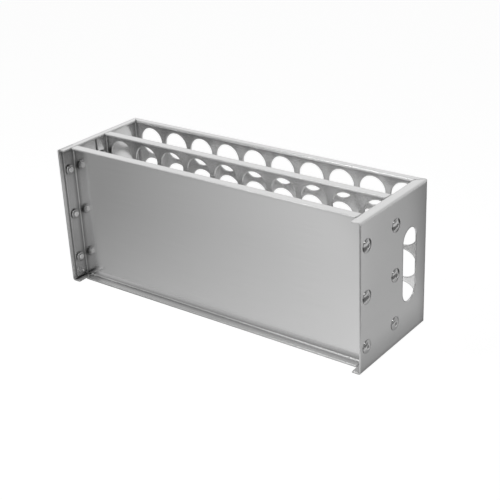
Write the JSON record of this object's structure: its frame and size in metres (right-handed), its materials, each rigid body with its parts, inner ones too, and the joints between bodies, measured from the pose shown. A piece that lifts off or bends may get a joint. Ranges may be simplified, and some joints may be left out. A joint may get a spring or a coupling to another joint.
{
  "type": "test tube rack",
  "caption": "Rack of folded and riveted steel sheet that holds test tubes upright in a grid of round holes above a solid base, with a hand slot in each end wall.",
  "frame": {"origin": "centre of the floor under the rack as it lies on one long side", "axes": "+X along the rack, +Y from its feet to its top plate, +Z up as it lies. To stand the rack for use, turn it so that +Y points up."},
  "size_m": [0.293, 0.095, 0.12],
  "materials": {
    "outer_shell": "satin, fine grain along the length",
    "middle_plate": "satin, fine grain along the length",
    "base_plate": "satin, fine grain along the length",
    "rivet": "smooth, upset head",
    "mandrel": "broken stem, dull"
  },
  "bodies": {
    "root": {"outer_shell": "outer_shell", "middle_plate": "middle_plate", "base_plate": "base_plate", "rivet_base_left_1": "rivet", "rivet_base_left_2": "rivet", "rivet_base_left_3": "rivet", "rivet_base_right_1": "rivet", "rivet_base_right_2": "rivet", "rivet_base_right_3": "rivet", "rivet_middle_left_1": "rivet", "rivet_middle_left_2": "rivet", "rivet_middle_left_3": "rivet", "rivet_middle_right_1": "rivet", "rivet_middle_right_2": "rivet", "rivet_middle_right_3": "rivet", "mandrel_base_left_1": "mandrel", "mandrel_base_left_2": "mandrel", "mandrel_base_left_3": "mandrel", "mandrel_base_right_1": "mandrel", "mandrel_base_right_2": "mandrel", "mandrel_base_right_3": "mandrel", "mandrel_middle_left_1": "mandrel", "mandrel_middle_left_2": "mandrel", "mandrel_middle_left_3": "mandrel", "mandrel_middle_right_1": "mandrel", "mandrel_middle_right_2": "mandrel", "mandrel_middle_right_3": "mandrel"}
  },
  "joints": []
}
